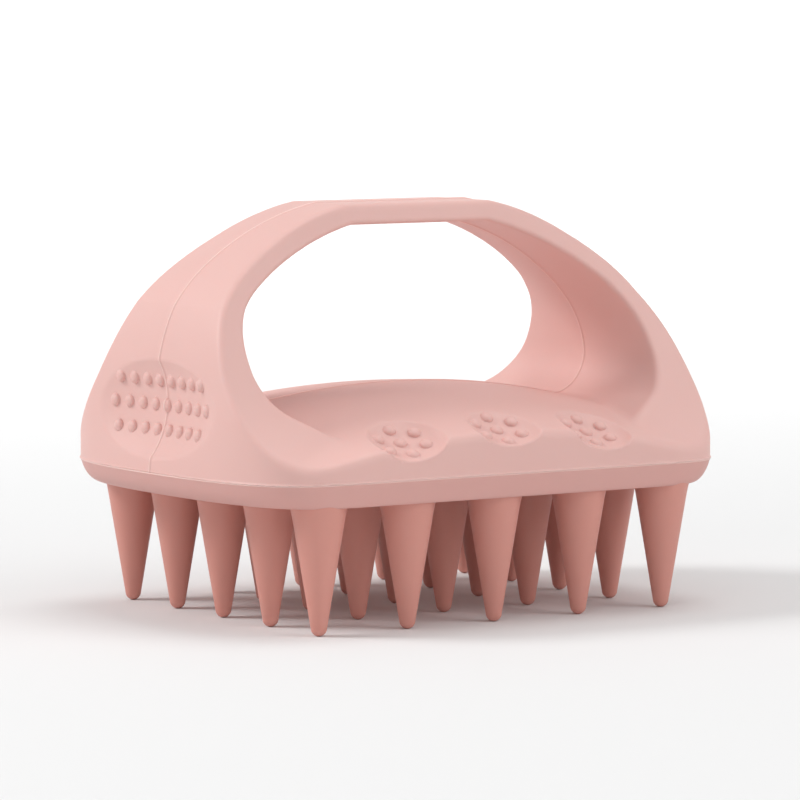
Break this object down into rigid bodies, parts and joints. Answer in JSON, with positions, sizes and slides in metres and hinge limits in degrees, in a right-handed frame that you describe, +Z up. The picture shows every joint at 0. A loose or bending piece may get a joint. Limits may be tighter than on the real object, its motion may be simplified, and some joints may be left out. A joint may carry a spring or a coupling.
{
  "type": "scalp massager brush",
  "caption": "Hand-held silicone scalp massager brush with an arched grip, dimpled finger rests and a grid of soft tapered bristles",
  "frame": {"origin": "centre of the bounding box's bottom face, in the plane that the bristle tips stand on", "axes": "+Z up from the bristle tips to the grip's flat top, +X along the arch, -Y towards the front row of finger rests (the rear row is its mirror image)"},
  "size_m": [0.1, 0.0714, 0.07],
  "materials": {
    "silicone_grip": "matte",
    "silicone_base": "matte",
    "silicone_bristle": "matte"
  },
  "bodies": {
    "grip": {"grip_body": "silicone_grip", "bristle_base": "silicone_base"},
    "body_r1_c1": {"bristle_r1_c1": "silicone_bristle"},
    "body_r1_c2": {"bristle_r1_c2": "silicone_bristle"},
    "body_r1_c3": {"bristle_r1_c3": "silicone_bristle"},
    "body_r1_c4": {"bristle_r1_c4": "silicone_bristle"},
    "body_r1_c5": {"bristle_r1_c5": "silicone_bristle"},
    "body_r2_c1": {"bristle_r2_c1": "silicone_bristle"},
    "body_r2_c2": {"bristle_r2_c2": "silicone_bristle"},
    "body_r2_c3": {"bristle_r2_c3": "silicone_bristle"},
    "body_r2_c4": {"bristle_r2_c4": "silicone_bristle"},
    "body_r2_c5": {"bristle_r2_c5": "silicone_bristle"},
    "body_r3_c1": {"bristle_r3_c1": "silicone_bristle"},
    "body_r3_c2": {"bristle_r3_c2": "silicone_bristle"},
    "body_r3_c3": {"bristle_r3_c3": "silicone_bristle"},
    "body_r3_c4": {"bristle_r3_c4": "silicone_bristle"},
    "body_r3_c5": {"bristle_r3_c5": "silicone_bristle"},
    "body_r4_c1": {"bristle_r4_c1": "silicone_bristle"},
    "body_r4_c2": {"bristle_r4_c2": "silicone_bristle"},
    "body_r4_c3": {"bristle_r4_c3": "silicone_bristle"},
    "body_r4_c4": {"bristle_r4_c4": "silicone_bristle"},
    "body_r4_c5": {"bristle_r4_c5": "silicone_bristle"},
    "body_r5_c1": {"bristle_r5_c1": "silicone_bristle"},
    "body_r5_c2": {"bristle_r5_c2": "silicone_bristle"},
    "body_r5_c3": {"bristle_r5_c3": "silicone_bristle"},
    "body_r5_c4": {"bristle_r5_c4": "silicone_bristle"},
    "body_r5_c5": {"bristle_r5_c5": "silicone_bristle"}
  },
  "joints": [
    {"name": "bend_r1_c1", "type": "hinge", "parent": "grip", "child": "body_r1_c1", "pos_m": [-0.0352, -0.0298, 0.0215], "axis": [0, 1, 0], "range_deg": [-18, 18], "stiffness_Nm_per_rad": 0.045, "deforming": ["bristle_r1_c1"]},
    {"name": "bend_r1_c2", "type": "hinge", "parent": "grip", "child": "body_r1_c2", "pos_m": [-0.0176, -0.0298, 0.0215], "axis": [0, 1, 0], "range_deg": [-18, 18], "stiffness_Nm_per_rad": 0.045, "deforming": ["bristle_r1_c2"]},
    {"name": "bend_r1_c3", "type": "hinge", "parent": "grip", "child": "body_r1_c3", "pos_m": [0, -0.0298, 0.0215], "axis": [0, 1, 0], "range_deg": [-18, 18], "stiffness_Nm_per_rad": 0.045, "deforming": ["bristle_r1_c3"]},
    {"name": "bend_r1_c4", "type": "hinge", "parent": "grip", "child": "body_r1_c4", "pos_m": [0.0176, -0.0298, 0.0215], "axis": [0, 1, 0], "range_deg": [-18, 18], "stiffness_Nm_per_rad": 0.045, "deforming": ["bristle_r1_c4"]},
    {"name": "bend_r1_c5", "type": "hinge", "parent": "grip", "child": "body_r1_c5", "pos_m": [0.0352, -0.0298, 0.0215], "axis": [0, 1, 0], "range_deg": [-18, 18], "stiffness_Nm_per_rad": 0.045, "deforming": ["bristle_r1_c5"]},
    {"name": "bend_r2_c1", "type": "hinge", "parent": "grip", "child": "body_r2_c1", "pos_m": [-0.0352, -0.0149, 0.0215], "axis": [0, 1, 0], "range_deg": [-18, 18], "stiffness_Nm_per_rad": 0.045, "deforming": ["bristle_r2_c1"]},
    {"name": "bend_r2_c2", "type": "hinge", "parent": "grip", "child": "body_r2_c2", "pos_m": [-0.0176, -0.0149, 0.0215], "axis": [0, 1, 0], "range_deg": [-18, 18], "stiffness_Nm_per_rad": 0.045, "deforming": ["bristle_r2_c2"]},
    {"name": "bend_r2_c3", "type": "hinge", "parent": "grip", "child": "body_r2_c3", "pos_m": [0, -0.0149, 0.0215], "axis": [0, 1, 0], "range_deg": [-18, 18], "stiffness_Nm_per_rad": 0.045, "deforming": ["bristle_r2_c3"]},
    {"name": "bend_r2_c4", "type": "hinge", "parent": "grip", "child": "body_r2_c4", "pos_m": [0.0176, -0.0149, 0.0215], "axis": [0, 1, 0], "range_deg": [-18, 18], "stiffness_Nm_per_rad": 0.045, "deforming": ["bristle_r2_c4"]},
    {"name": "bend_r2_c5", "type": "hinge", "parent": "grip", "child": "body_r2_c5", "pos_m": [0.0352, -0.0149, 0.0215], "axis": [0, 1, 0], "range_deg": [-18, 18], "stiffness_Nm_per_rad": 0.045, "deforming": ["bristle_r2_c5"]},
    {"name": "bend_r3_c1", "type": "hinge", "parent": "grip", "child": "body_r3_c1", "pos_m": [-0.0352, 0, 0.0215], "axis": [0, 1, 0], "range_deg": [-18, 18], "stiffness_Nm_per_rad": 0.045, "deforming": ["bristle_r3_c1"]},
    {"name": "bend_r3_c2", "type": "hinge", "parent": "grip", "child": "body_r3_c2", "pos_m": [-0.0176, 0, 0.0215], "axis": [0, 1, 0], "range_deg": [-18, 18], "stiffness_Nm_per_rad": 0.045, "deforming": ["bristle_r3_c2"]},
    {"name": "bend_r3_c3", "type": "hinge", "parent": "grip", "child": "body_r3_c3", "pos_m": [0, 0, 0.0215], "axis": [0, 1, 0], "range_deg": [-18, 18], "stiffness_Nm_per_rad": 0.045, "deforming": ["bristle_r3_c3"]},
    {"name": "bend_r3_c4", "type": "hinge", "parent": "grip", "child": "body_r3_c4", "pos_m": [0.0176, 0, 0.0215], "axis": [0, 1, 0], "range_deg": [-18, 18], "stiffness_Nm_per_rad": 0.045, "deforming": ["bristle_r3_c4"]},
    {"name": "bend_r3_c5", "type": "hinge", "parent": "grip", "child": "body_r3_c5", "pos_m": [0.0352, 0, 0.0215], "axis": [0, 1, 0], "range_deg": [-18, 18], "stiffness_Nm_per_rad": 0.045, "deforming": ["bristle_r3_c5"]},
    {"name": "bend_r4_c1", "type": "hinge", "parent": "grip", "child": "body_r4_c1", "pos_m": [-0.0352, 0.0149, 0.0215], "axis": [0, 1, 0], "range_deg": [-18, 18], "stiffness_Nm_per_rad": 0.045, "deforming": ["bristle_r4_c1"]},
    {"name": "bend_r4_c2", "type": "hinge", "parent": "grip", "child": "body_r4_c2", "pos_m": [-0.0176, 0.0149, 0.0215], "axis": [0, 1, 0], "range_deg": [-18, 18], "stiffness_Nm_per_rad": 0.045, "deforming": ["bristle_r4_c2"]},
    {"name": "bend_r4_c3", "type": "hinge", "parent": "grip", "child": "body_r4_c3", "pos_m": [0, 0.0149, 0.0215], "axis": [0, 1, 0], "range_deg": [-18, 18], "stiffness_Nm_per_rad": 0.045, "deforming": ["bristle_r4_c3"]},
    {"name": "bend_r4_c4", "type": "hinge", "parent": "grip", "child": "body_r4_c4", "pos_m": [0.0176, 0.0149, 0.0215], "axis": [0, 1, 0], "range_deg": [-18, 18], "stiffness_Nm_per_rad": 0.045, "deforming": ["bristle_r4_c4"]},
    {"name": "bend_r4_c5", "type": "hinge", "parent": "grip", "child": "body_r4_c5", "pos_m": [0.0352, 0.0149, 0.0215], "axis": [0, 1, 0], "range_deg": [-18, 18], "stiffness_Nm_per_rad": 0.045, "deforming": ["bristle_r4_c5"]},
    {"name": "bend_r5_c1", "type": "hinge", "parent": "grip", "child": "body_r5_c1", "pos_m": [-0.0352, 0.0298, 0.0215], "axis": [0, 1, 0], "range_deg": [-18, 18], "stiffness_Nm_per_rad": 0.045, "deforming": ["bristle_r5_c1"]},
    {"name": "bend_r5_c2", "type": "hinge", "parent": "grip", "child": "body_r5_c2", "pos_m": [-0.0176, 0.0298, 0.0215], "axis": [0, 1, 0], "range_deg": [-18, 18], "stiffness_Nm_per_rad": 0.045, "deforming": ["bristle_r5_c2"]},
    {"name": "bend_r5_c3", "type": "hinge", "parent": "grip", "child": "body_r5_c3", "pos_m": [0, 0.0298, 0.0215], "axis": [0, 1, 0], "range_deg": [-18, 18], "stiffness_Nm_per_rad": 0.045, "deforming": ["bristle_r5_c3"]},
    {"name": "bend_r5_c4", "type": "hinge", "parent": "grip", "child": "body_r5_c4", "pos_m": [0.0176, 0.0298, 0.0215], "axis": [0, 1, 0], "range_deg": [-18, 18], "stiffness_Nm_per_rad": 0.045, "deforming": ["bristle_r5_c4"]},
    {"name": "bend_r5_c5", "type": "hinge", "parent": "grip", "child": "body_r5_c5", "pos_m": [0.0352, 0.0298, 0.0215], "axis": [0, 1, 0], "range_deg": [-18, 18], "stiffness_Nm_per_rad": 0.045, "deforming": ["bristle_r5_c5"]}
  ]
}
